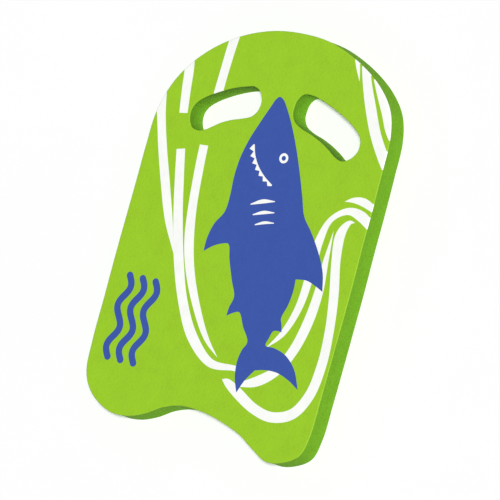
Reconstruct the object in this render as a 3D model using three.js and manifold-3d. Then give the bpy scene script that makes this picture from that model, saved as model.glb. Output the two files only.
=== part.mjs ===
// Kickboard float: one cut block of closed-cell EVA foam with two hand holes
// and a scooped tail, decorated with separate transfer-print films on its deck.
//
// Frame: millimetres, +Z up. The board lies flat with its plain underside on
// z = 0, its nose towards +Y and its printed deck facing +Z. The origin is the
// middle of the underside's bounding rectangle.

import * as THREE from 'three';
import { mergeVertices } from 'three/addons/utils/BufferGeometryUtils.js';
import Module from 'manifold-3d';

const wasm = await Module();
wasm.setup();

// ---------------------------------------------------------------- dimensions
const WIDTH = 300;          // widest place, side to side
const LENGTH = 460;         // nose to tail lobes
const THICKNESS = 30;       // foam block
const EDGE_BREAK = 0.8;     // small softened corner round both faces
const FILM = 0.3;           // transfer-print film on the deck
const FILM_MARGIN = 0.1;    // film stops this far inside the flat deck
const FILM_GAP = 0.3;       // clearance between two neighbouring films

const BOARD_STEPS = 190;    // points round the outline
const HOLE_STEPS = 54;      // points round each hand hole

// Outline of the board, clockwise from the middle of the tail scoop.
const OUTLINE = [
  [1, -195.9], [-20.2, -196.7], [-40.3, -203.4], [-58.6, -214.3], [-78.9, -221.9],
  [-99.9, -223.2], [-119.7, -216.6], [-136.3, -203.9], [-146.2, -186], [-149.5, -150],
  [-150, -101], [-150.4, -58], [-150.5, -15], [-150.6, 27], [-150.8, 70], [-148.8, 112.4],
  [-134.5, 152.5], [-107.6, 185.5], [-72.4, 209.9], [-33.7, 224.5], [4, 229.4], [43.1, 226.9],
  [84, 212.6], [116.7, 192.3], [136.3, 170.3], [145.5, 143.1], [147.5, 102.9], [148.5, 60],
  [148.8, 18], [149.7, -25], [149.9, -67], [150, -110], [149.8, -153], [148.9, -192.1],
  [142.9, -214.8], [124.7, -226.9], [103.9, -230.7], [83.3, -221.3], [62.7, -210],
  [43, -203.5], [21.9, -198.4],
];

// Hand holes: slanted, slightly bent slots, one for each hand.
const HAND_HOLE_RIGHT = [
  [19.6, 149.9], [20.9, 157.7], [26.6, 165.4], [38.6, 166.6], [51.3, 163.8], [66.6, 158.7],
  [82.2, 152.3], [98, 143.8], [109.4, 133.5], [111.5, 121.9], [107.8, 113.7], [102.4, 108.3],
  [94, 105.1], [84.4, 107.9], [75.1, 113.6], [63.1, 119.8], [49.2, 125.1], [34.9, 129.2],
  [24.8, 134.5], [20, 142.5],
];
const HAND_HOLE_LEFT = [
  [-22.3, 146.8], [-24.4, 153.1], [-28.9, 158.6], [-36.5, 161.2], [-46.2, 159.1],
  [-56.9, 155.8], [-69.6, 150.5], [-82.3, 143.9], [-93.9, 136.4], [-102.2, 128.3],
  [-105.5, 119.3], [-104.1, 109.6], [-98.9, 102], [-89.8, 100.4], [-81.4, 103.3],
  [-73.8, 108.4], [-65, 114.3], [-53, 119.9], [-40.8, 124], [-30.2, 128.6], [-24.6, 134.8],
  [-22.7, 140.9],
];

// White print bands. Each one is a centre line [x, y, width] on the deck.
const BANDS = {
  stripe_port_outer: [
    [-149.3, 132.2, 14.6], [-140.4, 106.3, 10.9], [-128, 72.6, 10.9], [-112.3, 35.5, 11.2],
    [-95.2, -3.1, 9.4], [-77.9, -37.1, 0],
  ],
  stripe_port_middle_upper: [
    [-129, 186, 12.4], [-122.7, 166.1, 11.8], [-118.8, 141.8, 11.2], [-114.1, 114.8, 10.4],
  ],
  stripe_port_middle: [
    [-104.9, 76, 10.7], [-96.1, 42.2, 11.4], [-85.4, 4.2, 11.7], [-70.1, -40.1, 12.3],
    [-50.9, -83.5, 11.5], [-26.1, -120.1, 12.4], [4.5, -142.2, 9.4], [34.5, -141.1, 6],
    [46, -141.5, 6],
  ],
  stripe_port_inner_upper: [
    [-75.7, 222, 11.8], [-77.3, 195, 11.3], [-77.9, 170, 10.9], [-78.4, 138, 10.9],
  ],
  stripe_port_inner: [
    [-77.6, 86, 10.6], [-75.7, 61.9, 10.8], [-71, 19.6, 10.8], [-63.2, -19, 12],
    [-50.3, -53.5, 10.7], [-29.6, -89.7, 8.7], [-8.3, -118, 5.8], [11.3, -134.7, 0],
  ],
  loop_lower: [
    [24, -156, 0], [31, -157.6, 8], [46.7, -165.6, 11.9], [72.4, -177.9, 11.4], [96.9, -181.8, 11.4],
    [120.7, -172.6, 11.8], [135, -148.6, 11.9], [139.7, -115, 11.7], [137.4, -76.1, 11],
    [130.6, -36.3, 11.5], [121.8, -0.5, 11.1], [118.4, 24.5, 12], [120.8, 35.5, 9.2],
    [126, 42.9, 4.6], [132, 44, 0],
  ],
  loop_middle: [
    [46, -157, 5], [66.5, -148.8, 11.1], [86.3, -132.8, 11], [100.1, -107.7, 11.6],
    [108.8, -73.9, 12.1], [111.6, -38, 10.6], [109.8, -3.9, 6.5], [109, 30, 0],
  ],
  loop_upper: [
    [66, -112, 0], [82, -91.4, 6.5], [92.8, -59.8, 9], [95.3, -20, 10.5], [94.9, 14.3, 10.2],
    [102.2, 41.1, 6.3], [120.3, 54.2, 7.8], [137.5, 52.1, 11.7], [154.6, 42.3, 10],
  ],
  crest: [
    [112.3, 63.5, 0], [123.4, 67.3, 6], [135.6, 67.5, 9.2], [155.5, 60.8, 6.6],
  ],
  stripe_starboard: [
    [89.3, 223.1, 10.1], [97.2, 200.3, 10.4], [111.7, 169.9, 12.7], [127.4, 141.6, 12.7],
    [144.3, 118.9, 12.9], [160.1, 100.8, 12.5],
  ],
  stripe_starboard_edge: [
    [103.4, 205.7, 0.5], [117.6, 187.7, 7.4], [132.3, 168, 10.9], [144.6, 147.3, 10.4],
    [160.7, 130.7, 8],
  ],
  stripe_nose_sliver: [
    [75.9, 225, 6.1], [84.4, 206.7, 4.1], [90.4, 193.2, 0],
  ],
};

// Names of the separate lengths of a band that the shark cuts, largest first.
const BAND_PARTS = {
  loop_middle: ['loop_middle', 'loop_middle_foot'],
  loop_upper: ['loop_upper_crest', 'loop_upper'],
};

// A plain shark silhouette, seen from its side: a third value of 1 is a true
// corner, and every other point is smooth.
const SHARK = [
  // snout, then down the back (starboard side)
  [-1, 157], [4.5, 154.5], [12, 145.5], [23, 129.5], [36, 107], [48.5, 82], [59.5, 58],
  [69, 37],
  // back fin
  [82, 23], [98, 3], [110, -17], [116, -37, 1], [106, -33], [93.5, -29.5], [79.5, -31, 1],
  // rear back, small fin, tail stalk
  [80.5, -45], [79, -60], [75, -76], [77.5, -82], [80.5, -90.5, 1], [75.5, -90], [70, -91.5],
  [67, -100], [65.5, -108.5],
  // tail fluke
  [77, -109], [93, -113.5], [108, -126], [119, -146, 1], [104, -138.5], [88, -134],
  [73, -134.5], [61, -137.5, 1], [57, -143], [51.5, -152], [46, -166, 1], [39, -150],
  [36.5, -133], [38.5, -120], [42.5, -110],
  // belly (port side) with a small fin and the breast fin
  [32, -95], [22.5, -81], [15.5, -83], [8, -88, 1], [8.5, -78.5], [11, -66], [3, -50],
  [-7.5, -28], [-14, -12], [-21, -13], [-31, -17.5], [-42, -26, 1], [-42, -10], [-38, 6],
  [-29.5, 21],
  // throat and jaw
  [-28.5, 40], [-30, 60], [-29, 82], [-24, 104], [-16.5, 125], [-9, 144], [-5, 153.5],
];
const EYE = { at: [24.5, 93], white: 5.6, pupil: 2.7 };
// Closed mouth: a thin white line with a short row of plain pointed teeth.
const MOUTH = [[-16.5, 100], [-12, 88.5], [-4, 77.5], [7, 68], [19, 61]];
const MOUTH_LINE = 1.6;
const TEETH = { count: 7, depth: 5.2 };
const GILLS = [
  [[0, 36, 1.2], [13.5, 42, 4.6], [28, 45, 1]],
  [[6, 25.5, 1.2], [18, 30.5, 3.8], [31, 33, 1]],
  [[12, 15.5, 1.2], [22.5, 20, 3.2], [34, 22, 1]],
];

// Three plain wave strokes in place of a mark, near the port tail corner.
const WAVE = { x: [-90, -107, -124], top: -72, length: 92, swing: 5.0, width: 8.0 };

// Colours.
const LIME = new THREE.Color().setRGB(155 / 255, 205 / 255, 48 / 255, THREE.SRGBColorSpace);
const WHITE = new THREE.Color().setRGB(0.96, 0.97, 0.95, THREE.SRGBColorSpace);
const BLUE = new THREE.Color().setRGB(66 / 255, 88 / 255, 174 / 255, THREE.SRGBColorSpace);

// ------------------------------------------------------------------- helpers
const v2 = (p) => new THREE.Vector2(p[0], p[1]);

// Smooth closed outline through knots, evenly spaced.
function closedOutline(knots, steps) {
  const c = new THREE.CatmullRomCurve3(
    knots.map((p) => new THREE.Vector3(p[0], p[1], 0)), true, 'centripetal');
  c.arcLengthDivisions = 4000;
  return simplify(c.getSpacedPoints(steps).slice(0, steps).map((p) => [p.x, p.y]));
}

// Closed outline through knots, with a true corner at each knot flagged 1.
function corneredOutline(knots, spacing) {
  const n = knots.length;
  const first = knots.findIndex((k) => k[2]);
  const out = [];
  let run = [knots[first]];
  for (let i = 1; i <= n; i++) {
    const k = knots[(first + i) % n];
    run.push(k);
    if (k[2]) {
      const c = new THREE.CatmullRomCurve3(
        run.map((p) => new THREE.Vector3(p[0], p[1], 0)), false, 'centripetal');
      c.arcLengthDivisions = 1000;
      const m = Math.max(2, Math.round(c.getLength() / spacing));
      c.getSpacedPoints(m).slice(0, m).forEach((p) => out.push([p.x, p.y]));
      run = [k];
    }
  }
  return simplify(out);
}

// Outline of a band of changing width along a centre line.
function bandOutline(knots, spacing, round = false) {
  const c = new THREE.CatmullRomCurve3(
    knots.map((p) => new THREE.Vector3(p[0], p[1], p[2])), false, 'centripetal');
  c.arcLengthDivisions = 2000;
  const n = Math.max(4, Math.round(c.getLength() / spacing));
  const pts = c.getSpacedPoints(n);
  const left = [];
  const right = [];
  for (let i = 0; i <= n; i++) {
    const a = pts[Math.max(0, i - 1)];
    const b = pts[Math.min(n, i + 1)];
    const l = Math.hypot(b.x - a.x, b.y - a.y);
    const nx = -(b.y - a.y) / l;
    const ny = (b.x - a.x) / l;
    const h = Math.max(0, pts[i].z) / 2;
    if (h < 0.15) {
      left.push([pts[i].x, pts[i].y]);
    } else {
      left.push([pts[i].x + nx * h, pts[i].y + ny * h]);
      right.push([pts[i].x - nx * h, pts[i].y - ny * h]);
    }
  }
  if (round) {
    const cap = (i, dir) => {
      const a = pts[Math.max(0, i - 1)];
      const b = pts[Math.min(n, i + 1)];
      const t = Math.atan2(b.y - a.y, b.x - a.x) + (dir > 0 ? 0 : Math.PI);
      const h = pts[i].z / 2;
      const arc = [];
      for (let k = 1; k < 6; k++) {
        const w = t + Math.PI / 2 - (Math.PI * k) / 6;
        arc.push([pts[i].x + Math.cos(w) * h, pts[i].y + Math.sin(w) * h]);
      }
      return arc;
    };
    return simplify([...left, ...cap(n, 1), ...right.reverse(), ...cap(0, -1)]);
  }
  return simplify([...left, ...right.reverse()]);
}

// The same outline without the points that a straight run doesn't need.
function simplify(pts, tol = 0.012) {
  const n = pts.length;
  const keep = [];
  let last = pts[n - 1];
  for (let i = 0; i < n; i++) {
    const p = pts[i];
    const b = pts[(i + 1) % n];
    const l = Math.hypot(b[0] - last[0], b[1] - last[1]);
    const d = Math.abs((b[0] - last[0]) * (p[1] - last[1]) - (b[1] - last[1]) * (p[0] - last[0])) / l;
    if (d > tol) { keep.push(p); last = p; }
  }
  return keep;
}

// Outline moved outwards (d > 0) or inwards (d < 0) along its normals.
function offsetOutline(pts, d) {
  const ccw = THREE.ShapeUtils.area(pts.map(v2)) > 0 ? 1 : -1;
  const n = pts.length;
  return pts.map((p, i) => {
    const a = pts[(i + n - 1) % n];
    const b = pts[(i + 1) % n];
    let e1 = [p[0] - a[0], p[1] - a[1]];
    let e2 = [b[0] - p[0], b[1] - p[1]];
    const l1 = Math.hypot(...e1);
    const l2 = Math.hypot(...e2);
    e1 = [e1[0] / l1, e1[1] / l1];
    e2 = [e2[0] / l2, e2[1] / l2];
    const m = [e1[1] + e2[1], -(e1[0] + e2[0])];
    const lm = Math.hypot(...m);
    const cosHalf = Math.max(0.35, lm / 2);
    return [p[0] + (ccw * d * m[0]) / lm / cosHalf, p[1] + (ccw * d * m[1]) / lm / cosHalf];
  });
}

// Flat plate of an outline, with holes, between two heights.
function plate(outline, holes, z0, z1) {
  const turned = (pts, ccw) => (
    (THREE.ShapeUtils.area(pts.map(v2)) > 0) === ccw ? pts : [...pts].reverse()).map(v2);
  const s = new THREE.Shape(turned(outline, true));
  holes.forEach((h) => s.holes.push(new THREE.Path(turned(h, false))));
  const g = new THREE.ExtrudeGeometry(s, { depth: z1 - z0, bevelEnabled: false, steps: 1 });
  g.translate(0, 0, z0);
  return g;
}

function toSolid(geometry) {
  const g = geometry.clone();
  g.deleteAttribute('normal');
  g.deleteAttribute('uv');
  const m = mergeVertices(g, 1e-4);
  return new wasm.Manifold(new wasm.Mesh({
    numProp: 3,
    vertProperties: new Float32Array(m.attributes.position.array),
    triVerts: new Uint32Array(m.index.array),
  }));
}

function toGeometry(solid) {
  const m = solid.getMesh();
  const g = new THREE.BufferGeometry();
  g.setAttribute('position', new THREE.BufferAttribute(new Float32Array(m.vertProperties), 3));
  g.setIndex(new THREE.BufferAttribute(new Uint32Array(m.triVerts), 1));
  g.computeVertexNormals();
  return g;
}

const foam = (color) => new THREE.MeshStandardMaterial({ color, roughness: 0.78, metalness: 0 });
const ink = (color) => new THREE.MeshStandardMaterial({ color, roughness: 0.45, metalness: 0 });

const group = new THREE.Group();
function add(name, geometry, material) {
  const mesh = new THREE.Mesh(geometry, material);
  mesh.name = name;
  group.add(mesh);
}

// --------------------------------------------------------------- foam board
// The sampled outline is scaled to the exact width and length, centred.
let outline = closedOutline(OUTLINE, BOARD_STEPS);
const xs = outline.map((p) => p[0]);
const ys = outline.map((p) => p[1]);
const [x0, x1, y0, y1] = [Math.min(...xs), Math.max(...xs), Math.min(...ys), Math.max(...ys)];
outline = outline.map(([x, y]) => [
  ((x - x0) / (x1 - x0) - 0.5) * WIDTH,
  ((y - y0) / (y1 - y0) - 0.5) * LENGTH,
]);
const holes = [HAND_HOLE_LEFT, HAND_HOLE_RIGHT].map((h) => closedOutline(h, HOLE_STEPS));

// A block with straight walls and a small broken edge round the outline and
// round both hand holes, top and bottom.
function foamBlock() {
  const ring = (pts, inset) => (inset ? offsetOutline(pts, -inset) : pts);
  const hring = (pts, inset) => (inset ? offsetOutline(pts, inset) : pts);
  const levels = [
    [0, EDGE_BREAK], [EDGE_BREAK * 0.3, EDGE_BREAK * 0.3], [EDGE_BREAK, 0],
    [THICKNESS - EDGE_BREAK, 0], [THICKNESS - EDGE_BREAK * 0.3, EDGE_BREAK * 0.3],
    [THICKNESS, EDGE_BREAK],
  ];
  const pos = [];
  const idx = [];
  const rings = [];
  const loops = [{ pts: outline, f: ring }, ...holes.map((h) => ({ pts: h, f: hring }))];
  loops.forEach((loop) => {
    const ccw = THREE.ShapeUtils.area(loop.pts.map(v2)) > 0;
    const wantCcw = loop.f === ring;
    const base = ccw === wantCcw ? loop.pts : [...loop.pts].reverse();
    rings.push(levels.map(([z, inset]) => {
      const r = loop.f(base, inset);
      const start = pos.length / 3;
      r.forEach((p) => pos.push(p[0], p[1], z));
      return { start, n: r.length, pts: r };
    }));
  });
  rings.forEach((r) => {
    for (let l = 0; l < levels.length - 1; l++) {
      const a = r[l];
      const b = r[l + 1];
      for (let i = 0; i < a.n; i++) {
        const j = (i + 1) % a.n;
        idx.push(a.start + i, a.start + j, b.start + j, a.start + i, b.start + j, b.start + i);
      }
    }
  });
  [[0, true], [levels.length - 1, false]].forEach(([l, flip]) => {
    const contour = rings[0][l].pts.map(v2);
    const hs = rings.slice(1).map((r) => r[l].pts.map(v2));
    const map = [];
    rings.forEach((r) => { for (let i = 0; i < r[l].n; i++) map.push(r[l].start + i); });
    THREE.ShapeUtils.triangulateShape(contour, hs).forEach(([a, b, c]) => {
      if (flip) idx.push(map[a], map[c], map[b]);
      else idx.push(map[a], map[b], map[c]);
    });
  });
  const g = new THREE.BufferGeometry();
  g.setAttribute('position', new THREE.BufferAttribute(new Float32Array(pos), 3));
  g.setIndex(idx);
  g.computeVertexNormals();
  return g;
}
add('foam_board', foamBlock(), foam(LIME));

// --------------------------------------------------------------- print films
const Z0 = THICKNESS;
const Z1 = THICKNESS + FILM;
const inset = EDGE_BREAK + FILM_MARGIN;
const deck = toSolid(plate(
  offsetOutline(outline, -inset), holes.map((h) => offsetOutline(h, inset)), Z0, Z1));

// Shark parts.
const sharkOutline = corneredOutline(SHARK, 6);
const disc = ([cx, cy], r, n) => Array.from({ length: n }, (_, i) => [
  cx + r * Math.cos((2 * Math.PI * i) / n), cy + r * Math.sin((2 * Math.PI * i) / n)]);
const eyeWhite = disc(EYE.at, EYE.white, 26);
const eyePupil = disc(EYE.at, EYE.pupil, 18);
// The mouth outline: a smooth upper edge, and teeth along the lower edge.
const mouth = (() => {
  const c = new THREE.CatmullRomCurve3(
    MOUTH.map((p) => new THREE.Vector3(p[0], p[1], 0)), false, 'centripetal');
  const n = TEETH.count * 2;
  const p = c.getSpacedPoints(n);
  const upper = [];
  const lower = [];
  for (let i = 0; i <= n; i++) {
    const a = p[Math.max(0, i - 1)];
    const b = p[Math.min(n, i + 1)];
    const l = Math.hypot(b.x - a.x, b.y - a.y);
    const nx = -(b.y - a.y) / l;
    const ny = (b.x - a.x) / l;
    const fade = 1 - 0.45 * (i / n);
    upper.push([p[i].x + (nx * MOUTH_LINE) / 2, p[i].y + (ny * MOUTH_LINE) / 2]);
    const d = MOUTH_LINE / 2 + (i % 2 ? TEETH.depth * fade : 0);
    lower.push([p[i].x - nx * d, p[i].y - ny * d]);
  }
  return [...upper, ...lower.reverse()];
})();
const gills = GILLS.map((g) => bandOutline(g, 3, true));

let shark = toSolid(plate(sharkOutline, [], Z0, Z1));
[eyeWhite, mouth, ...gills].forEach((o) => {
  shark = shark.subtract(toSolid(plate(offsetOutline(o, FILM_GAP), [], Z0 - 1, Z1 + 1)));
});
add('shark_print', toGeometry(shark), ink(BLUE));
add('shark_eye_white', plate(eyeWhite, [offsetOutline(eyePupil, FILM_GAP)], Z0, Z1), ink(WHITE));
add('shark_eye_pupil', plate(eyePupil, [], Z0, Z1), ink(BLUE));
add('shark_teeth', plate(mouth, [], Z0, Z1), ink(WHITE));
gills.forEach((g, i) => add(`shark_gill_${i + 1}`, plate(g, [], Z0, Z1), ink(WHITE)));

// White bands, trimmed to the deck and cut back where the shark lies. A band
// that another band crosses stops short of it, so that no films overlap.
const sharkCut = toSolid(plate(offsetOutline(sharkOutline, FILM_GAP), [], Z0 - 1, Z1 + 1));
let taken = sharkCut;
Object.entries(BANDS).forEach(([name, knots]) => {
  const o = bandOutline(knots, 8);
  const s = toSolid(plate(o, [], Z0, Z1)).intersect(deck).subtract(taken);
  const parts = s.decompose().filter((p) => p.volume() > 3);
  parts.sort((a, b) => b.volume() - a.volume());
  const names = BAND_PARTS[name] ?? [name];
  if (parts.length !== names.length) throw new Error(`${name}: ${parts.length} lengths`);
  parts.forEach((p, i) => add(names[i], toGeometry(p), ink(WHITE)));
  taken = taken.add(toSolid(plate(offsetOutline(o, FILM_GAP), [], Z0 - 1, Z1 + 1)));
});

// Wave strokes.
WAVE.x.forEach((x, i) => {
  const knots = [];
  for (let k = 0; k <= 12; k++) {
    knots.push([
      x + WAVE.swing * Math.sin((k / 12) * 4 * Math.PI),
      WAVE.top - (WAVE.length * k) / 12,
      WAVE.width,
    ]);
  }
  add(`wave_mark_${i + 1}`, plate(bandOutline(knots, 4, true), [], Z0, Z1), ink(BLUE));
});

export default group;
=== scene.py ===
"""Kickboard float: the visual model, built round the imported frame.

Lengths are in millimetres while shapes are being drawn, and in metres once
they become meshes. The frame is the part's own: underside on z = 0, nose
towards +Y, printed deck facing +Z.
"""
import math

import bpy
import numpy as np
from mathutils import Matrix, Vector
from mathutils.geometry import delaunay_2d_cdt


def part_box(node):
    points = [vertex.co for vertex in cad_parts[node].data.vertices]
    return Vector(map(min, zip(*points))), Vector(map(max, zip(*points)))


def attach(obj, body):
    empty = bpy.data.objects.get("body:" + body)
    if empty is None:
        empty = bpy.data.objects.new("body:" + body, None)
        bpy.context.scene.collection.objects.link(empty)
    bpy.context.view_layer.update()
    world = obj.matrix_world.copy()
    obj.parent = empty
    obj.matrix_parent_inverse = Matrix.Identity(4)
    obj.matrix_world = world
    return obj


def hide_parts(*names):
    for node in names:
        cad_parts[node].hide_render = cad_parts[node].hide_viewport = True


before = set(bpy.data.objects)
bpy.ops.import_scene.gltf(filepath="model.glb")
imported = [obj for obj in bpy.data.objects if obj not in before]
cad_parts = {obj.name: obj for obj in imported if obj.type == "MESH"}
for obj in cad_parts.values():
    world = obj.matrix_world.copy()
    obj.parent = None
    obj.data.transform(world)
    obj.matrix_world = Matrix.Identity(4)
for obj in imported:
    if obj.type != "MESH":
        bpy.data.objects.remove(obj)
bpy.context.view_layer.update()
scene = bpy.context.scene
collection = scene.collection

# ------------------------------------------------------------------ camera
DECK_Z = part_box("foam_board")[1].z
cam_data = bpy.data.cameras.new("camera")
cam_data.lens = 555.0
cam_data.sensor_width = 36.0
cam_data.clip_start = 0.05
cam_data.clip_end = 200.0
camera = bpy.data.objects.new("camera", cam_data)
collection.objects.link(camera)
right = Vector((0.83323, 0.26885, -0.48316)).normalized()
back = Vector((0.50975, -0.03499, 0.85961)).normalized()
up = back.cross(right).normalized()
right = up.cross(back).normalized()
rot = Matrix((right, up, back)).transposed()
camera.matrix_world = Matrix.Translation(Vector((4.2800, -0.3057, 7.1919 + DECK_Z)) - 0.00054 * right + 0.00054 * up) @ rot.to_4x4()
scene.camera = camera

# ------------------------------------------------------------- dimensions
WIDTH, LENGTH, THICKNESS = 300.0, 460.0, 30.0
EDGE_R = 1.0            # softened corner between a face and a wall
FILM = 0.16             # print film standing on the deck
DISH = 0.35             # how far a cut foam wall bows inwards at mid height

OUTLINE = [
    [1, -195.9], [-20.2, -196.7], [-40.3, -203.4], [-58.6, -214.3], [-78.9, -221.9],
    [-99.9, -223.2], [-119.7, -216.6], [-136.3, -203.9], [-146.2, -186], [-149.5, -150],
    [-150, -101], [-150.4, -58], [-150.5, -15], [-150.6, 27], [-150.8, 70], [-148.8, 112.4],
    [-134.5, 152.5], [-107.6, 185.5], [-72.4, 209.9], [-33.7, 224.5], [4, 229.4],
    [43.1, 226.9], [84, 212.6], [116.7, 192.3], [136.3, 170.3], [145.5, 143.1],
    [147.5, 102.9], [148.5, 60], [148.8, 18], [149.7, -25], [149.9, -67], [150, -110],
    [149.8, -153], [148.9, -192.1], [142.9, -214.8], [124.7, -226.9], [103.9, -230.7],
    [83.3, -221.3], [62.7, -210], [43, -203.5], [21.9, -198.4],
]
HAND_HOLE_RIGHT = [
    [19.6, 149.9], [20.9, 157.7], [26.6, 165.4], [38.6, 166.6], [51.3, 163.8], [66.6, 158.7],
    [82.2, 152.3], [98, 143.8], [109.4, 133.5], [111.5, 121.9], [107.8, 113.7],
    [102.4, 108.3], [94, 105.1], [84.4, 107.9], [75.1, 113.6], [63.1, 119.8], [49.2, 125.1],
    [34.9, 129.2], [24.8, 134.5], [20, 142.5],
]
HAND_HOLE_LEFT = [
    [-22.3, 146.8], [-24.4, 153.1], [-28.9, 158.6], [-36.5, 161.2], [-46.2, 159.1],
    [-56.9, 155.8], [-69.6, 150.5], [-82.3, 143.9], [-93.9, 136.4], [-102.2, 128.3],
    [-105.5, 119.3], [-104.1, 109.6], [-98.9, 102], [-89.8, 100.4], [-81.4, 103.3],
    [-73.8, 108.4], [-65, 114.3], [-53, 119.9], [-40.8, 124], [-30.2, 128.6], [-24.6, 134.8],
    [-22.7, 140.9],
]
BANDS = {
    "stripe_port_outer": [
        [-149.3, 132.2, 14.6], [-140.4, 106.3, 10.9], [-128, 72.6, 10.9],
        [-112.3, 35.5, 11.2], [-95.2, -3.1, 9.4], [-77.9, -37.1, 0],
    ],
    "stripe_port_middle_upper": [
        [-129, 186, 12.4], [-122.7, 166.1, 11.8], [-118.8, 141.8, 11.2],
        [-114.1, 114.8, 10.4],
    ],
    "stripe_port_middle": [
        [-104.9, 76, 10.7], [-96.1, 42.2, 11.4], [-85.4, 4.2, 11.7], [-70.1, -40.1, 12.3],
        [-50.9, -83.5, 11.5], [-26.1, -120.1, 12.4], [4.5, -142.2, 9.4], [34.5, -141.1, 6],
        [46, -141.5, 6],
    ],
    "stripe_port_inner_upper": [
        [-75.7, 222, 11.8], [-77.3, 195, 11.3], [-77.9, 170, 10.9], [-78.4, 138, 10.9],
    ],
    "stripe_port_inner": [
        [-77.6, 86, 10.6], [-75.7, 61.9, 10.8], [-71, 19.6, 10.8], [-63.2, -19, 12],
        [-50.3, -53.5, 10.7], [-29.6, -89.7, 8.7], [-8.3, -118, 5.8], [11.3, -134.7, 0],
    ],
    "loop_lower": [
        [24, -156, 0], [31, -157.6, 8], [46.7, -165.6, 11.9], [72.4, -177.9, 11.4], [96.9, -181.8, 11.4],
        [120.7, -172.6, 11.8], [135, -148.6, 11.9], [139.7, -115, 11.7], [137.4, -76.1, 11],
        [130.6, -36.3, 11.5], [121.8, -0.5, 11.1], [118.4, 24.5, 12], [120.8, 35.5, 9.2],
        [126, 42.9, 4.6], [132, 44, 0],
    ],
    "loop_middle": [
        [46, -157, 5], [66.5, -148.8, 11.1], [86.3, -132.8, 11], [100.1, -107.7, 11.6],
        [108.8, -73.9, 12.1], [111.6, -38, 10.6], [109.8, -3.9, 6.5], [109, 30, 0],
    ],
    "loop_upper": [
        [66, -112, 0], [82, -91.4, 6.5], [92.8, -59.8, 9], [95.3, -20, 10.5],
        [94.9, 14.3, 10.2], [102.2, 41.1, 6.3], [120.3, 54.2, 7.8], [137.5, 52.1, 11.7],
        [154.6, 42.3, 10],
    ],
    "crest": [
        [112.3, 63.5, 0], [123.4, 67.3, 6], [135.6, 67.5, 9.2], [155.5, 60.8, 6.6],
    ],
    "stripe_starboard": [
        [89.3, 223.1, 10.1], [97.2, 200.3, 10.4], [111.7, 169.9, 12.7], [127.4, 141.6, 12.7],
        [144.3, 118.9, 12.9], [160.1, 100.8, 12.5],
    ],
    "stripe_starboard_edge": [
        [103.4, 205.7, 0.5], [117.6, 187.7, 7.4], [132.3, 168, 10.9], [144.6, 147.3, 10.4],
        [160.7, 130.7, 8],
    ],
    "stripe_nose_sliver": [
        [75.9, 225, 6.1], [84.4, 206.7, 4.1], [90.4, 193.2, 0],
    ],
}
BAND_PARTS = {
    "loop_middle": ["loop_middle", "loop_middle_foot"],
    "loop_upper": ["loop_upper_crest", "loop_upper"],
}
SHARK = [
    [-1, 157], [4.5, 154.5], [12, 145.5], [23, 129.5], [36, 107], [48.5, 82], [59.5, 58],
    [69, 37], [82, 23], [98, 3], [110, -17], [116, -37, 1], [106, -33], [93.5, -29.5],
    [79.5, -31, 1], [80.5, -45], [79, -60], [75, -76], [77.5, -82], [80.5, -90.5, 1],
    [75.5, -90], [70, -91.5], [67, -100], [65.5, -108.5], [77, -109], [93, -113.5],
    [108, -126], [119, -146, 1], [104, -138.5], [88, -134], [73, -134.5], [61, -137.5, 1],
    [57, -143], [51.5, -152], [46, -166, 1], [39, -150], [36.5, -133], [38.5, -120],
    [42.5, -110], [32, -95], [22.5, -81], [15.5, -83], [8, -88, 1], [8.5, -78.5], [11, -66],
    [3, -50], [-7.5, -28], [-14, -12], [-21, -13], [-31, -17.5], [-42, -26, 1], [-42, -10],
    [-38, 6], [-29.5, 21], [-28.5, 40], [-30, 60], [-29, 82], [-24, 104], [-16.5, 125],
    [-9, 144], [-5, 153.5],
]
EYE_AT, EYE_WHITE, EYE_PUPIL = (24.5, 93), 5.6, 2.7
MOUTH = [[-16.5, 100], [-12, 88.5], [-4, 77.5], [7, 68], [19, 61]]
MOUTH_LINE, TEETH, TOOTH = 1.6, 7, 5.2
GILLS = [
    [[0, 36, 1.2], [13.5, 42, 4.6], [28, 45, 1]],
    [[6, 25.5, 1.2], [18, 30.5, 3.8], [31, 33, 1]],
    [[12, 15.5, 1.2], [22.5, 20, 3.2], [34, 22, 1]],
]
WAVE_X, WAVE_TOP, WAVE_LENGTH, WAVE_SWING, WAVE_WIDTH = (-90, -107, -124), -72.0, 92.0, 5.0, 8.0


# ---------------------------------------------------------------- 2D curves
def catmull(knots, closed, per=40):
    """Centripetal Catmull-Rom curve through knots of any dimension."""
    k = np.array(knots, float)
    n = len(k)
    segs = n if closed else n - 1
    out = []
    for i in range(segs):
        p1, p2 = k[i], k[(i + 1) % n]
        p0 = k[(i - 1) % n] if closed or i > 0 else 2 * k[0] - k[1]
        p3 = k[(i + 2) % n] if closed or i < n - 2 else 2 * k[-1] - k[-2]
        d0 = max(np.linalg.norm(p1 - p0), 1e-9) ** 0.5
        d1 = max(np.linalg.norm(p2 - p1), 1e-9) ** 0.5
        d2 = max(np.linalg.norm(p3 - p2), 1e-9) ** 0.5
        t1 = ((p1 - p0) / d0 - (p2 - p0) / (d0 + d1) + (p2 - p1) / d1) * d1
        t2 = ((p2 - p1) / d1 - (p3 - p1) / (d1 + d2) + (p3 - p2) / d2) * d1
        u = np.linspace(0, 1, per, endpoint=False)[:, None]
        out.append(p1 + t1 * u + (-3 * p1 + 3 * p2 - 2 * t1 - t2) * u**2 + (2 * p1 - 2 * p2 + t1 + t2) * u**3)
    if not closed:
        out.append(k[-1:])
    return np.vstack(out)


def resample(p, step, closed):
    """Points at an even spacing of about step along a polyline."""
    q = np.vstack([p, p[:1]]) if closed else p
    d = np.r_[0, np.cumsum(np.linalg.norm(np.diff(q, axis=0), axis=1))]
    n = max(3, int(round(d[-1] / step)))
    s = np.linspace(0, d[-1], n + 1)
    if closed:
        s = s[:-1]
    return np.stack([np.interp(s, d, q[:, j]) for j in range(q.shape[1])], 1)


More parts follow.
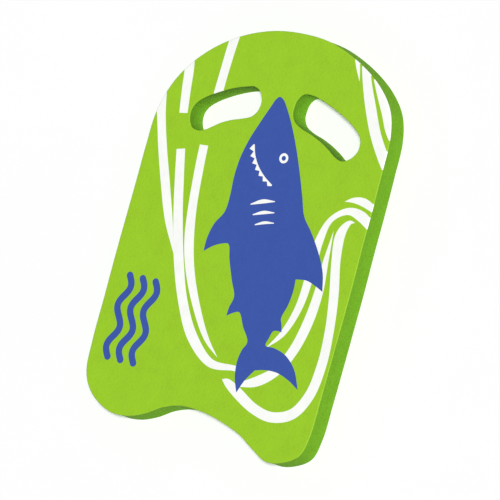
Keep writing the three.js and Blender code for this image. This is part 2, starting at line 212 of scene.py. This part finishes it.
def signed_area(p):
    x, y = p[:, 0], p[:, 1]
    return 0.5 * float(np.sum(x * np.roll(y, -1) - np.roll(x, -1) * y))


def ccw(p):
    return p if signed_area(p) > 0 else p[::-1].copy()


def normals_out(p):
    """Outward normals of a counter-clockwise closed polyline."""
    t = np.roll(p, -1, 0) - np.roll(p, 1, 0)
    t /= np.linalg.norm(t, axis=1)[:, None]
    return np.stack([t[:, 1], -t[:, 0]], 1)


def cornered(knots, step):
    """Closed curve through knots, with a true corner at each knot flagged 1."""
    n = len(knots)
    first = next(i for i, k in enumerate(knots) if len(k) > 2)
    out, run = [], [knots[first][:2]]
    for i in range(1, n + 1):
        k = knots[(first + i) % n]
        run.append(k[:2])
        if len(k) > 2:
            c = resample(catmull(run, False), step, False)
            out.append(c[:-1])
            run = [k[:2]]
    return np.vstack(out)


def band(knots, step, rounded=False):
    """Outline of a band of changing width along a centre line."""
    c = resample(catmull(knots, False), step, False)
    t = np.gradient(c[:, :2], axis=0)
    t /= np.linalg.norm(t, axis=1)[:, None]
    nrm = np.stack([-t[:, 1], t[:, 0]], 1)
    h = np.maximum(c[:, 2], 0.0) / 2
    left = c[:, :2] + nrm * h[:, None]
    right_ = c[:, :2] - nrm * h[:, None]
    keep = h > 0.05
    right_ = right_[keep][::-1]

    def cap(i, a0):
        a = a0 + math.pi / 2 - np.linspace(0, math.pi, 14)[1:-1]
        return c[i, :2] + h[i] * np.stack([np.cos(a), np.sin(a)], 1)

    if rounded:
        e = math.atan2(t[-1, 1], t[-1, 0])
        s = math.atan2(t[0, 1], t[0, 0]) + math.pi
        return np.vstack([left, cap(-1, e), right_, cap(0, s)])
    return np.vstack([left, right_])


def inside(poly, pts):
    """Which points lie inside a closed polygon."""
    lo, hi = poly.min(0), poly.max(0)
    out = np.zeros(len(pts), bool)
    near = np.flatnonzero((pts >= lo).all(1) & (pts <= hi).all(1))
    if not len(near):
        return out
    q = pts[near]
    x1, y1 = poly[:, 0], poly[:, 1]
    x2, y2 = np.roll(x1, -1), np.roll(y1, -1)
    odd = np.zeros(len(q), bool)
    dy = np.where(y2 == y1, 1e-12, y2 - y1)
    for k in range(0, len(poly), 64):
        s = slice(k, k + 64)
        cross = (y1[s] > q[:, 1:2]) != (y2[s] > q[:, 1:2])
        xi = x1[s] + (q[:, 1:2] - y1[s]) * (x2[s] - x1[s]) / dy[s]
        odd ^= (np.sum(cross & (q[:, 0:1] < xi), 1) % 2).astype(bool)
    out[near] = odd
    return out


# ------------------------------------------------------------- the outlines
outer = catmull(OUTLINE, True)
lo, hi = outer.min(0), outer.max(0)
outer = ((outer - lo) / (hi - lo) - 0.5) * np.array([WIDTH, LENGTH])
outer = ccw(resample(outer, 1.4, True))
holes = [ccw(resample(catmull(h, True), 1.2, True)) for h in (HAND_HOLE_LEFT, HAND_HOLE_RIGHT)]

rng = np.random.default_rng(7)
WAVES = [
    (rng.uniform(-1, 1, 2), rng.uniform(0, 2 * math.pi), w, a)
    for w, a in ((150, 0.10), (110, 0.09), (74, 0.06), (52, 0.045), (38, 0.03), (29, 0.02))
]


def deck_height(xy):
    """Very slight unevenness of the moulded deck, in millimetres."""
    h = np.zeros(len(xy))
    for d, ph, w, a in WAVES:
        d = d / np.linalg.norm(d)
        h += a * np.sin(2 * math.pi * (xy @ d) / w + ph)
    return h - 0.16


def triangulate(loops, extra, grid):
    """Triangles over a set of closed loops, with an even grid inside them, and
    for each point the loop point it came from, counted through the loops."""
    verts, edges = [], []
    for p in loops:
        s = len(verts)
        verts += [Vector(map(float, q)) for q in p]
        edges += [(s + i, s + (i + 1) % len(p)) for i in range(len(p))]
    if grid:
        lo, hi = loops[0].min(0), loops[0].max(0)
        ys = np.arange(lo[1], hi[1], grid * 0.866)
        g = []
        for j, y in enumerate(ys):
            xs = np.arange(lo[0] + (j % 2) * grid / 2, hi[0], grid)
            g.append(np.stack([xs, np.full(len(xs), y)], 1))
        g = np.vstack(g)
        ok = inside(loops[0], g)
        for p in loops[1:1 + extra]:
            ok &= ~inside(p, g)
        g = g[ok]
        alls = np.vstack(loops)
        near = np.zeros(len(g), bool)
        cell = {}
        for q in alls:
            cell.setdefault((int(q[0] // grid), int(q[1] // grid)), []).append(q)
        for i, q in enumerate(g):
            cx, cy = int(q[0] // grid), int(q[1] // grid)
            for a in (-1, 0, 1):
                for b in (-1, 0, 1):
                    for r in cell.get((cx + a, cy + b), ()):
                        if (r[0] - q[0]) ** 2 + (r[1] - q[1]) ** 2 < (grid * 0.45) ** 2:
                            near[i] = True
        verts += [Vector(map(float, q)) for q in g[~near]]
    v, _, f, src, _, _ = delaunay_2d_cdt(verts, edges, [], 0, 1e-5)
    v = np.array([list(q) for q in v])
    f = np.array([list(t) for t in f])
    a = v[f[:, 1]] - v[f[:, 0]]
    b = v[f[:, 2]] - v[f[:, 0]]
    cr = a[:, 0] * b[:, 1] - a[:, 1] * b[:, 0]
    f[cr < 0] = f[cr < 0][:, ::-1]
    return v, f[np.abs(cr) > 1e-9], [s[0] if len(s) else -1 for s in src]


def make_mesh(name, verts_mm, faces, mats, face_mat=None, sharp=None):
    me = bpy.data.meshes.new(name)
    me.from_pydata([tuple(v) for v in np.asarray(verts_mm) / 1000.0], [], [list(map(int, f)) for f in faces])
    for m in mats:
        me.materials.append(m)
    if face_mat is not None:
        me.polygons.foreach_set("material_index", np.asarray(face_mat, np.int32))
    me.polygons.foreach_set("use_smooth", np.ones(len(me.polygons), bool))
    me.validate(verbose=False)
    me.update()
    if sharp is not None:
        me.set_sharp_from_angle(angle=math.radians(sharp))
    o = bpy.data.objects.new(name, me)
    collection.objects.link(o)
    return o


# ---------------------------------------------------------------- materials
def nodes_of(name):
    m = bpy.data.materials.new(name)
    m.use_nodes = True
    nt = m.node_tree
    nt.nodes.clear()
    out = nt.nodes.new("ShaderNodeOutputMaterial")
    b = nt.nodes.new("ShaderNodeBsdfPrincipled")
    nt.links.new(b.outputs["BSDF"], out.inputs["Surface"])
    tc = nt.nodes.new("ShaderNodeTexCoord")
    return m, nt, b, tc.outputs["Object"]


def noise(nt, co, scale, detail=2.0, rough=0.5, stretch=None):
    if stretch is not None:
        mp = nt.nodes.new("ShaderNodeMapping")
        mp.inputs["Scale"].default_value = stretch
        nt.links.new(co, mp.inputs["Vector"])
        co = mp.outputs["Vector"]
    n = nt.nodes.new("ShaderNodeTexNoise")
    n.inputs["Scale"].default_value = scale
    n.inputs["Detail"].default_value = detail
    n.inputs["Roughness"].default_value = rough
    nt.links.new(co, n.inputs["Vector"])
    return n.outputs["Fac"]


def voronoi(nt, co, scale, feature="F1", rand=1.0, smooth=0.3):
    n = nt.nodes.new("ShaderNodeTexVoronoi")
    n.feature = feature
    n.inputs["Scale"].default_value = scale
    n.inputs["Randomness"].default_value = rand
    if feature == "SMOOTH_F1":
        n.inputs["Smoothness"].default_value = smooth
    nt.links.new(co, n.inputs["Vector"])
    return n.outputs["Distance"]


def ramp(nt, fac, stops):
    r = nt.nodes.new("ShaderNodeValToRGB")
    e = r.color_ramp.elements
    while len(e) < len(stops):
        e.new(0.5)
    for el, (p, c) in zip(e, stops):
        el.position = p
        el.color = (*c, 1.0) if len(c) == 3 else c
    nt.links.new(fac, r.inputs["Fac"])
    return r.outputs["Color"]


def maprange(nt, v, a, b, c, d):
    n = nt.nodes.new("ShaderNodeMapRange")
    n.inputs["From Min"].default_value = a
    n.inputs["From Max"].default_value = b
    n.inputs["To Min"].default_value = c
    n.inputs["To Max"].default_value = d
    nt.links.new(v, n.inputs["Value"])
    return n.outputs["Result"]


def math_node(nt, op, a, b):
    n = nt.nodes.new("ShaderNodeMath")
    n.operation = op
    for s, v in zip(n.inputs, (a, b)):
        if isinstance(v, (int, float)):
            s.default_value = v
        else:
            nt.links.new(v, s)
    return n.outputs["Value"]


def mix(nt, fac, a, b, blend="MIX"):
    n = nt.nodes.new("ShaderNodeMix")
    n.data_type = "RGBA"
    n.blend_type = blend
    n.clamp_factor = True
    if isinstance(fac, (int, float)):
        n.inputs["Factor"].default_value = fac
    else:
        nt.links.new(fac, n.inputs["Factor"])
    for s, v in zip((n.inputs["A"], n.inputs["B"]), (a, b)):
        if isinstance(v, tuple):
            s.default_value = (*v, 1.0)
        else:
            nt.links.new(v, s)
    return n.outputs["Result"]


def bump(nt, b, height, strength, distance, chain=None):
    n = nt.nodes.new("ShaderNodeBump")
    n.inputs["Strength"].default_value = strength
    n.inputs["Distance"].default_value = distance
    nt.links.new(height, n.inputs["Height"])
    if chain is not None:
        nt.links.new(chain, n.inputs["Normal"])
    if b is not None:
        nt.links.new(n.outputs["Normal"], b.inputs["Normal"])
    return n.outputs["Normal"]


LIME = (0.296, 0.552, 0.016)
# Cut-wall lime: a darker copy of the deck lime, partly the open cells' own tone and partly painted shade of walls
# turned away from the light.
LIME_WALL_CELLS_AND_SHADE = (0.172, 0.416, 0.017)
WHITE = (0.900, 0.912, 0.880)
BLUE = (0.040, 0.086, 0.366)


def scaled(c, k):
    return tuple(min(1.0, v * k) for v in c)


def foam_skin():
    """Moulded skin of the foam: fine pebble, faint mottling."""
    m, nt, b, co = nodes_of("foam_lime_skin")
    mottle = noise(nt, co, 55, 3, 0.55)
    grain = noise(nt, co, 620, 2, 0.6)
    c = ramp(nt, mottle, [(0.30, scaled(LIME, 0.965)), (0.5, LIME), (0.72, scaled(LIME, 1.03))])
    g = ramp(nt, grain, [(0.32, (0.905, 0.915, 0.87)), (0.5, (1, 1, 1))])
    c = mix(nt, 1.0, c, g, "MULTIPLY")
    nt.links.new(c, b.inputs["Base Color"])
    nt.links.new(maprange(nt, grain, 0.3, 0.7, 0.66, 0.52), b.inputs["Roughness"])
    b.inputs["Specular IOR Level"].default_value = 0.30
    b.inputs["Subsurface Weight"].default_value = 0.0
    n1 = bump(nt, None, voronoi(nt, co, 430, "SMOOTH_F1", 1.0, 0.6), 0.50, 0.00035)
    n2 = bump(nt, None, noise(nt, co, 190, 3, 0.5), 0.35, 0.0004, n1)
    bump(nt, b, noise(nt, co, 34, 2, 0.5), 0.25, 0.0010, n2)
    return m


def foam_wall(name, base):
    """Cut wall of the foam: open cells and a faint mark of the knife. Its base colour is darker than the deck lime,
    partly the cut foam's own tone and partly painted shade.
    """
    m, nt, b, co = nodes_of(name)
    cells = voronoi(nt, co, 380, "F1", 1.0)
    big = voronoi(nt, co, 150, "F1", 1.0)
    patch = noise(nt, co, 60, 3, 0.6)
    c = ramp(nt, patch, [(0.28, scaled(base, 0.94)), (0.52, base), (0.75, scaled(base, 1.06))])
    # Darker colour at the cell centres, where the bump sinks into pits: painted shade in the hollows.
    pit_painted_shade = ramp(nt, cells, [(0.0, (0.66, 0.69, 0.60)), (0.32, (0.98, 0.98, 0.97)), (0.6, (1, 1, 1))])
    big_pit_painted_shade = ramp(nt, big, [(0.0, (0.72, 0.75, 0.66)), (0.12, (1, 1, 1))])
    c = mix(nt, 1.0, c, pit_painted_shade, "MULTIPLY")
    c = mix(nt, 1.0, c, big_pit_painted_shade, "MULTIPLY")
    nt.links.new(c, b.inputs["Base Color"])
    nt.links.new(maprange(nt, cells, 0.0, 0.5, 0.92, 0.74), b.inputs["Roughness"])
    b.inputs["Specular IOR Level"].default_value = 0.06
    lines = noise(nt, co, 30, 3, 0.6, (1.0, 1.0, 26.0))
    n1 = bump(nt, None, maprange(nt, cells, 0.0, 0.55, 0.0, 1.0), 0.55, 0.00035)
    n2 = bump(nt, None, maprange(nt, big, 0.0, 0.22, 0.0, 1.0), 0.30, 0.0004, n1)
    bump(nt, b, lines, 0.22, 0.0005, n2)
    return m


def ink(name, colour, show):
    """Transfer film: satin, with the foam's texture coming through it."""
    m, nt, b, co = nodes_of(name)
    shade = noise(nt, co, 70, 3, 0.55)
    c = ramp(nt, shade, [(0.3, scaled(colour, 0.965)), (0.7, scaled(colour, 1.02))])
    grain = noise(nt, co, 1500, 2, 0.6)
    pin = ramp(nt, grain, [(0.0, (1, 1, 1)), (0.235, (1, 1, 1)), (0.255, (0, 0, 0))])
    c = mix(nt, pin, c, mix(nt, show, colour, LIME))
    nt.links.new(c, b.inputs["Base Color"])
    nt.links.new(maprange(nt, noise(nt, co, 240, 3, 0.6), 0.3, 0.7, 0.34, 0.46), b.inputs["Roughness"])
    b.inputs["Specular IOR Level"].default_value = 0.42
    n1 = bump(nt, None, voronoi(nt, co, 430, "SMOOTH_F1", 1.0, 0.6), 0.26, 0.00035)
    n2 = bump(nt, None, noise(nt, co, 190, 3, 0.5), 0.25, 0.0004, n1)
    bump(nt, b, noise(nt, co, 34, 2, 0.5), 0.25, 0.0010, n2)
    return m


MAT_SKIN = foam_skin()
MAT_WALL = foam_wall("foam_lime_wall", LIME_WALL_CELLS_AND_SHADE)
MAT_WHITE, MAT_BLUE = ink("print_white_film", WHITE, 0.55), ink("print_blue_film", BLUE, 0.35)


# --------------------------------------------------------------- foam board
def wall_profile(top):
    """(inset, height) from the underside to the deck, with rounded corners."""
    arc = np.radians([0, 15, 30, 45, 60, 75])
    pts = [(EDGE_R + 0.55, 0.0, 0)]
    pts += [(EDGE_R * (1 - math.sin(a)), EDGE_R * (1 - math.cos(a)), 0) for a in arc]
    for z in np.linspace(EDGE_R, THICKNESS - EDGE_R, 15):
        u = (z - EDGE_R) / (THICKNESS - 2 * EDGE_R)
        pts.append((DISH * 4 * u * (1 - u), z, 1))
    pts += [(EDGE_R * (1 - math.sin(a)), THICKNESS - EDGE_R * (1 - math.cos(a)), 0) for a in arc[::-1]]
    pts.append((EDGE_R + 0.55, THICKNESS, 0))
    return pts


def board():
    verts, faces, mats = [], [], []
    prof = wall_profile(True)
    rim_top, rim_low = [], []
    cuts = rng.uniform(0, 2 * math.pi, 8)
    for k, loop in enumerate([outer] + holes):
        n = normals_out(loop)
        sign = 1.0 if k == 0 else -1.0
        seg = np.linalg.norm(np.roll(loop, -1, 0) - loop, axis=1)
        s = np.r_[0, np.cumsum(seg)[:-1]]
        total = seg.sum()
        m = len(loop)
        start = len(verts)
        for inset, z, is_wall in prof:
            wob = 0.0
            if is_wall:
                fade = min(1.0, (z - EDGE_R) / 4, (THICKNESS - EDGE_R - z) / 4)
                wob = 0.10 * max(0.0, fade) * (
                    np.sin(2 * math.pi * round(total / 31) * s / total + cuts[k] + z * 0.10)
                    + 0.6 * np.sin(2 * math.pi * round(total / 17) * s / total + cuts[k + 3] - z * 0.16)
                    - 1.6
                )
            p = loop + sign * n * (wob - inset)[:, None] if is_wall else loop - sign * n * inset
            lift = np.zeros(m) if z < THICKNESS / 2 else deck_height(loop) * min(1.0, (z / THICKNESS * 2 - 1) * 1.08)
            verts += [(a, b, z + c) for (a, b), c in zip(p, lift)]
            if z == THICKNESS and inset > EDGE_R + 0.1:
                (rim_top).append((p, start + (len(verts) - start - m)))
            if z == 0.0 and inset > EDGE_R + 0.1:
                (rim_low).append((p, start))
        for r in range(len(prof) - 1):
            a, b = start + r * m, start + (r + 1) * m
            wall = prof[r][2] or prof[r + 1][2]
            for i in range(m):
                j = (i + 1) % m
                q = (a + i, a + j, b + j, b + i)
                faces.append(q if k == 0 else q[::-1])
                mats.append(1 if wall else 0)
    for rims, top in ((rim_low, False), (rim_top, True)):
        loops = [r[0] for r in rims]
        v, f, src = triangulate(loops, 2, 5.0)
        cen = v[f].mean(1)
        ok = inside(loops[0], cen) & ~inside(loops[1], cen) & ~inside(loops[2], cen)
        f = f[ok]
        rim_ids = np.concatenate([st + np.arange(len(p)) for p, st in rims])
        z = THICKNESS + deck_height(v) if top else np.zeros(len(v))
        ids = np.empty(len(v), int)
        for i, q in enumerate(v):
            if 0 <= src[i] < len(rim_ids):
                ids[i] = rim_ids[src[i]]
            else:
                ids[i] = len(verts)
                verts.append((q[0], q[1], z[i]))
        for t in f:
            t = ids[t]
            faces.append(tuple(t) if top else tuple(t[::-1]))
            mats.append(0)
    used = sorted(set(i for f in faces for i in f))
    back_ = {o: i for i, o in enumerate(used)}
    verts = [verts[i] for i in used]
    faces = [[back_[i] for i in f] for f in faces]
    return make_mesh("foam_block", verts, faces, [MAT_SKIN, MAT_WALL], mats)


foam = board()
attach(foam, "root")
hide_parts("foam_board")

# -------------------------------------------------------------- print films
STEP = 1.0
sign_n = normals_out(outer)
deck_loops = [outer - sign_n * EDGE_R] + [h + normals_out(h) * EDGE_R for h in holes]
deck_loops = [resample(p, 1.2, True) for p in deck_loops]

shapes = []      # (node, outline), first one wins
pupil = np.linspace(0, 2 * math.pi, 40, endpoint=False)
eye = np.array(EYE_AT)
circle = np.stack([np.cos(pupil), np.sin(pupil)], 1)
shapes.append(("shark_eye_pupil", eye + EYE_PUPIL * circle))
shapes.append(("shark_eye_white", eye + EYE_WHITE * circle))


def mouth():
    """The mouth line: smooth above, with straight-sided teeth below."""
    c = resample(catmull(MOUTH, False), 0.8, False)
    u = np.arange(2 * TEETH + 1)
    at = u * (len(c) - 1) / (2 * TEETH)
    q = np.stack([np.interp(at, np.arange(len(c)), c[:, j]) for j in (0, 1)], 1)

    def side(p):
        t = np.vstack([p[1] - p[0], p[2:] - p[:-2], p[-1] - p[-2]])
        t /= np.linalg.norm(t, axis=1)[:, None]
        return np.stack([-t[:, 1], t[:, 0]], 1)

    depth = MOUTH_LINE / 2 + np.where(u % 2, TOOTH * (1 - 0.45 * u / (2 * TEETH)), 0.0)
    return np.vstack([c + side(c) * MOUTH_LINE / 2, (q - side(q) * depth[:, None])[::-1]])


shapes.append(("shark_teeth", mouth()))
for i, g in enumerate(GILLS):
    shapes.append((f"shark_gill_{i + 1}", band(g, 0.8, True)))
shapes.append(("shark_print", cornered(SHARK, STEP)))
for i, x in enumerate(WAVE_X):
    k = np.arange(25) / 24
    knots = np.stack([
        x + WAVE_SWING * np.sin(k * 4 * math.pi), WAVE_TOP - WAVE_LENGTH * k, np.full(25, WAVE_WIDTH)], 1)
    shapes.append((f"wave_mark_{i + 1}", band(knots, 0.9, True)))
for name, knots in BANDS.items():
    shapes.append((name, band(knots, 1.2)))

cv, cf, _ = triangulate(deck_loops + [s for _, s in shapes], 2, 4.5)
cen = cv[cf].mean(1)
on_deck = inside(deck_loops[0], cen) & ~inside(deck_loops[1], cen) & ~inside(deck_loops[2], cen)
owner = np.full(len(cf), -1)
for i, (_, s) in enumerate(shapes):
    owner[(owner < 0) & on_deck & inside(s, cen)] = i


def islands(f):
    """Face sets that share edges, in the order they are found."""
    by_edge, label = {}, np.full(len(f), -1)
    for i, t in enumerate(f):
        for a, b in ((t[0], t[1]), (t[1], t[2]), (t[2], t[0])):
            by_edge.setdefault((min(a, b), max(a, b)), []).append(i)
    nb = [[] for _ in f]
    for fs in by_edge.values():
        if len(fs) == 2:
            nb[fs[0]].append(fs[1])
            nb[fs[1]].append(fs[0])
    k = 0
    for i in range(len(f)):
        if label[i] < 0:
            stack = [i]
            label[i] = k
            while stack:
                for j in nb[stack.pop()]:
                    if label[j] < 0:
                        label[j] = k
                        stack.append(j)
            k += 1
    return [np.flatnonzero(label == j) for j in range(k)]


def area_of(f):
    a, b = cv[f[:, 1]] - cv[f[:, 0]], cv[f[:, 2]] - cv[f[:, 0]]
    return 0.5 * np.abs(a[:, 0] * b[:, 1] - a[:, 1] * b[:, 0]).sum()


rim_pts = np.vstack([outer - sign_n * EDGE_R] + [h + normals_out(h) * EDGE_R for h in holes])
rim_nrm = np.vstack([sign_n] + [-normals_out(h) for h in holes])


def film(name, node, f, mat):
    """One print island: a thin closed shell that follows the deck, and turns
    over the board's softened corner where it runs to the edge."""
    used = np.unique(f)
    back_ = {o: i for i, o in enumerate(used)}
    p = cv[used]
    n = len(used)
    z = THICKNESS + deck_height(p)
    verts = [(x, y, h + FILM) for (x, y), h in zip(p, z)]
    verts += [(x, y, h - 0.03) for (x, y), h in zip(p, z)]
    faces = [[back_[i] for i in t] for t in f]
    low = [[n + i for i in reversed(t)] for t in faces]
    count = {}
    for t in faces:
        for a, b in ((t[0], t[1]), (t[1], t[2]), (t[2], t[0])):
            count[(a, b)] = 1
    edge = [(a, b) for (a, b) in count if (b, a) not in count]
    # boundary points on the rim of the deck
    bp = sorted(set(i for e in edge for i in e))
    rim = {}
    for i in bp:
        d = np.linalg.norm(rim_pts - p[i], axis=1)
        j = int(d.argmin())
        if d[j] < 0.75:
            nr = rim_nrm[j]
            if abs(float(np.dot(p[i] - rim_pts[j], nr))) < 0.06:
                rim[i] = nr
    turn = {}
    arc = np.radians([18, 36, 54, 70])
    for i, nr in rim.items():
        top, bot = [i], [n + i]
        for a in arc:
            for r, chain in ((EDGE_R + FILM, top), (EDGE_R - 0.03, bot)):
                chain.append(len(verts))
                q = p[i] + nr * r * math.sin(a)
                verts.append((q[0], q[1], z[i] - EDGE_R + r * math.cos(a)))
        turn[i] = (top, bot)
    sides = []
    for a, b in edge:
        if a in turn and b in turn:
            (ta, ba), (tb, bb) = turn[a], turn[b]
            for k in range(len(ta) - 1):
                sides.append([ta[k + 1], tb[k + 1], tb[k], ta[k]])
                sides.append([bb[k + 1], ba[k + 1], ba[k], bb[k]])
            sides.append([ba[-1], bb[-1], tb[-1], ta[-1]])
        else:
            sides.append([n + a, n + b, b, a])
    # close the ends of each turned strip
    on = {(a, b) for a, b in edge if a in turn and b in turn}
    starts = {a for a, b in on} - {b for a, b in on}
    ends = {b for a, b in on} - {a for a, b in on}
    for i in starts | ends:
        t, b = turn[i]
        for k in range(len(t) - 1):
            q = [t[k], b[k], b[k + 1], t[k + 1]]
            sides.append(q if i in starts else q[::-1])
    allf = faces + low + sides
    used2 = sorted(set(i for q in allf for i in q))
    m = {o: i for i, o in enumerate(used2)}
    o = make_mesh(name, [verts[i] for i in used2], [[m[i] for i in q] for q in allf], [mat], None, 40)
    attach(o, "root")
    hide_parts(node)
    return o


for i, (node, _) in enumerate(shapes):
    f = cf[owner == i]
    parts = [f[s] for s in islands(f)]
    parts = sorted((q for q in parts if area_of(q) > 8), key=area_of, reverse=True)
    names = BAND_PARTS.get(node, [node])
    blue = node in ("shark_print", "shark_eye_pupil") or node.startswith("wave")
    for q, nm in zip(parts, names):
        film(nm + "_film", nm, q, MAT_BLUE if blue else MAT_WHITE)


# ---------------------------------------------------------- floor and light
bpy.ops.mesh.primitive_plane_add(size=60, location=(0, 0, 0))
floor = bpy.context.object
floor.name = "studio_floor"
fm, fnt, fb, fco = nodes_of("studio_floor_matt")
fnt.links.new(ramp(fnt, noise(fnt, fco, 3, 2, 0.5), [(0.3, (0.895, 0.895, 0.895)), (0.7, (0.905, 0.905, 0.905))]),
              fb.inputs["Base Color"])
fb.inputs["Roughness"].default_value = 0.9
fb.inputs["Specular IOR Level"].default_value = 0.1
floor.data.materials.append(fm)

# One broad key high over the starboard side; it lights floor and deck evenly.
key_data = bpy.data.lights.new("key", "SUN")
key_data.energy = 3.47
key_data.angle = math.radians(12)
key = bpy.data.objects.new("key", key_data)
collection.objects.link(key)
key.rotation_euler = (0.0, math.radians(27), 0.0)

world = bpy.data.worlds.new("studio")
scene.world = world
world.use_nodes = True
bg = world.node_tree.nodes["Background"]
bg.inputs["Color"].default_value = (1.0, 1.0, 1.0, 1.0)
bg.inputs["Strength"].default_value = 0.12

scene.view_settings.view_transform = "Standard"
scene.view_settings.look = "None"
scene.view_settings.exposure = 0.0
scene.view_settings.gamma = 1.0
